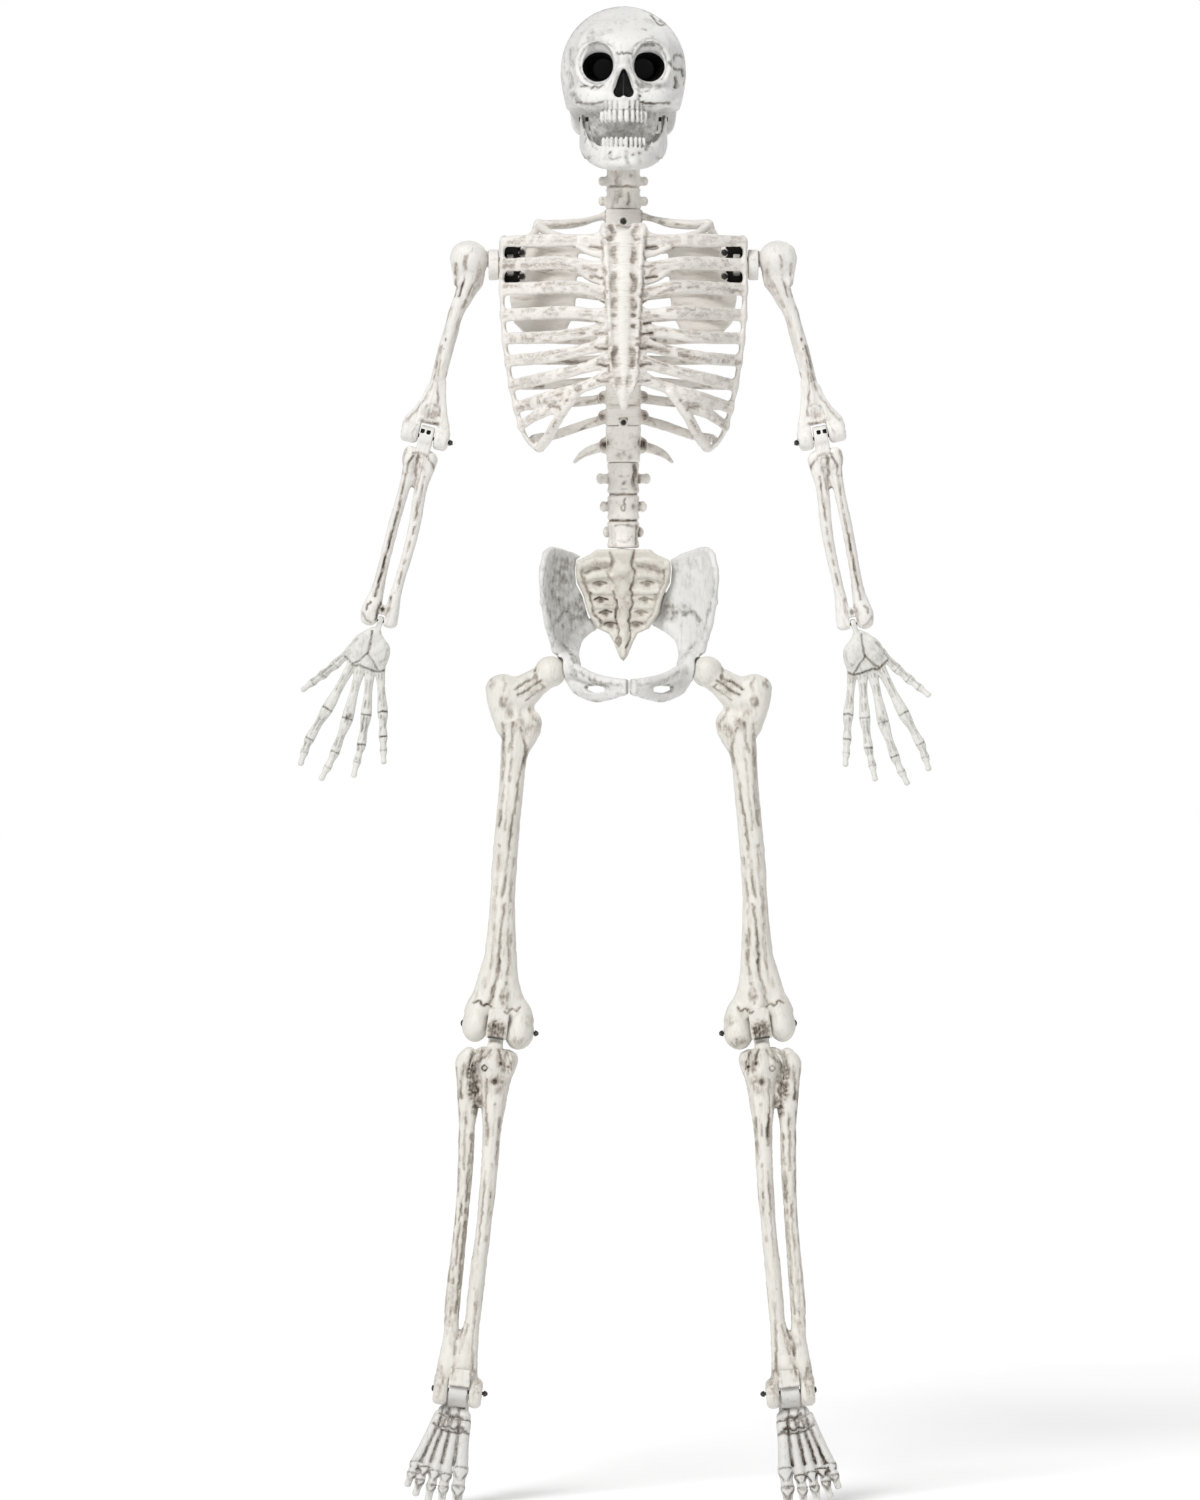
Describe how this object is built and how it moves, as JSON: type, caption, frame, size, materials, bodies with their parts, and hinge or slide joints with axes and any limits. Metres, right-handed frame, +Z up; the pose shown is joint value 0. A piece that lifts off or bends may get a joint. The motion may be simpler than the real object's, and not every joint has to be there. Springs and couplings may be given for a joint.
{
  "type": "posable skeleton figure",
  "caption": "Life-size posable plastic skeleton hanging upright, with jointed skull, jaw, waist, arms and legs, ivory with brown wash.",
  "frame": {"origin": "on the back of the spine between the shoulder blades, where the figure hangs", "axes": "+Z up along the spine, -Y out of the chest and face, +X to the figure's left"},
  "size_m": [0.7001, 0.2177, 1.6592],
  "materials": {
    "skull_plastic": "matte ivory, grey-brown wash in the recesses",
    "rib_plastic": "satin cream, brown wash in the recesses",
    "spine_plastic": "satin grey-white",
    "pelvis_plastic": "satin cool grey-white with grey wash",
    "arm_plastic": "satin ivory, brown wash in the recesses",
    "leg_plastic": "satin olive ivory, brown wash in the recesses",
    "fastener_steel": "darkened zinc plate"
  },
  "bodies": {
    "torso": {"ribcage_back": "rib_plastic", "ribcage_front": "rib_plastic", "waist_block": "spine_plastic", "neck_screw": "fastener_steel", "waist_screw": "fastener_steel", "shoulder_screw_upper_left": "fastener_steel", "shoulder_screw_lower_left": "fastener_steel", "shoulder_screw_upper_right": "fastener_steel", "shoulder_screw_lower_right": "fastener_steel"},
    "neck": {"neck_vertebrae": "spine_plastic", "neck_pin": "fastener_steel"},
    "head": {"cranium": "skull_plastic", "jaw_pin_left": "fastener_steel", "jaw_pin_right": "fastener_steel"},
    "jaw": {"mandible": "skull_plastic"},
    "pelvis": {"lumbar_spine": "spine_plastic", "sacrum": "pelvis_plastic", "hip_bone_left": "pelvis_plastic", "hip_bone_right": "pelvis_plastic", "hip_pin_left": "fastener_steel", "hip_pin_right": "fastener_steel"},
    "left_shoulder": {"shoulder_stub_left": "arm_plastic"},
    "left_upper_arm": {"humerus_left": "arm_plastic", "shoulder_pin_left": "fastener_steel", "elbow_bolt_left": "fastener_steel", "elbow_wing_nut_left": "fastener_steel"},
    "left_forearm": {"forearm_left": "arm_plastic", "wrist_pin_left": "fastener_steel"},
    "left_hand": {"hand_left": "arm_plastic"},
    "left_thigh": {"femur_left": "leg_plastic", "knee_bolt_left": "fastener_steel", "knee_wing_nut_left": "fastener_steel"},
    "left_shin": {"shin_left": "leg_plastic", "ankle_bolt_left": "fastener_steel", "ankle_wing_nut_left": "fastener_steel"},
    "left_foot": {"foot_left": "leg_plastic"},
    "right_shoulder": {"shoulder_stub_right": "arm_plastic"},
    "right_upper_arm": {"humerus_right": "arm_plastic", "shoulder_pin_right": "fastener_steel", "elbow_bolt_right": "fastener_steel", "elbow_wing_nut_right": "fastener_steel"},
    "right_forearm": {"forearm_right": "arm_plastic", "wrist_pin_right": "fastener_steel"},
    "right_hand": {"hand_right": "arm_plastic"},
    "right_thigh": {"femur_right": "leg_plastic", "knee_bolt_right": "fastener_steel", "knee_wing_nut_right": "fastener_steel"},
    "right_shin": {"shin_right": "leg_plastic", "ankle_bolt_right": "fastener_steel", "ankle_wing_nut_right": "fastener_steel"},
    "right_foot": {"foot_right": "leg_plastic"}
  },
  "joints": [
    {"name": "neck_turn", "type": "hinge", "parent": "torso", "child": "neck", "pos_m": [0, -0.026, 0.0482], "axis": [0, 0, 1], "range_deg": [-60, 60]},
    {"name": "head_nod", "type": "hinge", "parent": "neck", "child": "head", "pos_m": [0, -0.026, 0.134], "axis": [1, 0, 0], "range_deg": [-15, 15]},
    {"name": "jaw_open", "type": "hinge", "parent": "head", "child": "jaw", "pos_m": [0, -0.042, 0.148], "axis": [1, 0, 0], "range_deg": [-8, 14]},
    {"name": "waist_turn", "type": "hinge", "parent": "torso", "child": "pelvis", "pos_m": [0, -0.026, -0.2334], "axis": [0, 0, 1], "range_deg": [-40, 40]},
    {"name": "arm_swing_left", "type": "hinge", "parent": "torso", "child": "left_shoulder", "pos_m": [0.141, -0.072, -0.016], "axis": [-1, 0, 0], "range_deg": [-40, 100]},
    {"name": "arm_raise_left", "type": "hinge", "parent": "left_shoulder", "child": "left_upper_arm", "pos_m": [0.171, -0.072, -0.0095], "axis": [0, -1, 0], "range_deg": [-12, 78]},
    {"name": "elbow_bend_left", "type": "hinge", "parent": "left_upper_arm", "child": "left_forearm", "pos_m": [0.2177, -0.072, -0.20705], "axis": [-0.9732, 0, -0.23], "range_deg": [0, 100]},
    {"name": "wrist_bend_left", "type": "hinge", "parent": "left_forearm", "child": "left_hand", "pos_m": [0.25489, -0.072, -0.41374], "axis": [-0.9842, 0, -0.1771], "range_deg": [-45, 45]},
    {"name": "hip_swing_left", "type": "hinge", "parent": "pelvis", "child": "left_thigh", "pos_m": [0.0932, -0.05, -0.4666], "axis": [-1, 0, 0], "range_deg": [-20, 85]},
    {"name": "knee_bend_left", "type": "hinge", "parent": "left_thigh", "child": "left_shin", "pos_m": [0.15025, -0.05, -0.86251], "axis": [0.9898, 0, 0.1426], "range_deg": [0, 100]},
    {"name": "ankle_bend_left", "type": "hinge", "parent": "left_shin", "child": "left_foot", "pos_m": [0.18489, -0.05, -1.26653], "axis": [-0.9963, 0, -0.0854], "range_deg": [-10, 50]},
    {"name": "arm_swing_right", "type": "hinge", "parent": "torso", "child": "right_shoulder", "pos_m": [-0.141, -0.072, -0.016], "axis": [-1, 0, 0], "range_deg": [-40, 100]},
    {"name": "arm_raise_right", "type": "hinge", "parent": "right_shoulder", "child": "right_upper_arm", "pos_m": [-0.171, -0.072, -0.0095], "axis": [0, 1, 0], "range_deg": [-12, 78]},
    {"name": "elbow_bend_right", "type": "hinge", "parent": "right_upper_arm", "child": "right_forearm", "pos_m": [-0.2177, -0.072, -0.20705], "axis": [-0.9732, 0, 0.23], "range_deg": [0, 100]},
    {"name": "wrist_bend_right", "type": "hinge", "parent": "right_forearm", "child": "right_hand", "pos_m": [-0.26921, -0.072, -0.41064], "axis": [-0.9694, 0, 0.2453], "range_deg": [-45, 45]},
    {"name": "hip_swing_right", "type": "hinge", "parent": "pelvis", "child": "right_thigh", "pos_m": [-0.0812, -0.05, -0.4666], "axis": [-1, 0, 0], "range_deg": [-20, 85]},
    {"name": "knee_bend_right", "type": "hinge", "parent": "right_thigh", "child": "right_shin", "pos_m": [-0.13825, -0.05, -0.86251], "axis": [0.9898, 0, -0.1426], "range_deg": [0, 100]},
    {"name": "ankle_bend_right", "type": "hinge", "parent": "right_shin", "child": "right_foot", "pos_m": [-0.18345, -0.05, -1.26548], "axis": [-0.9938, 0, 0.1115], "range_deg": [-10, 50]}
  ]
}
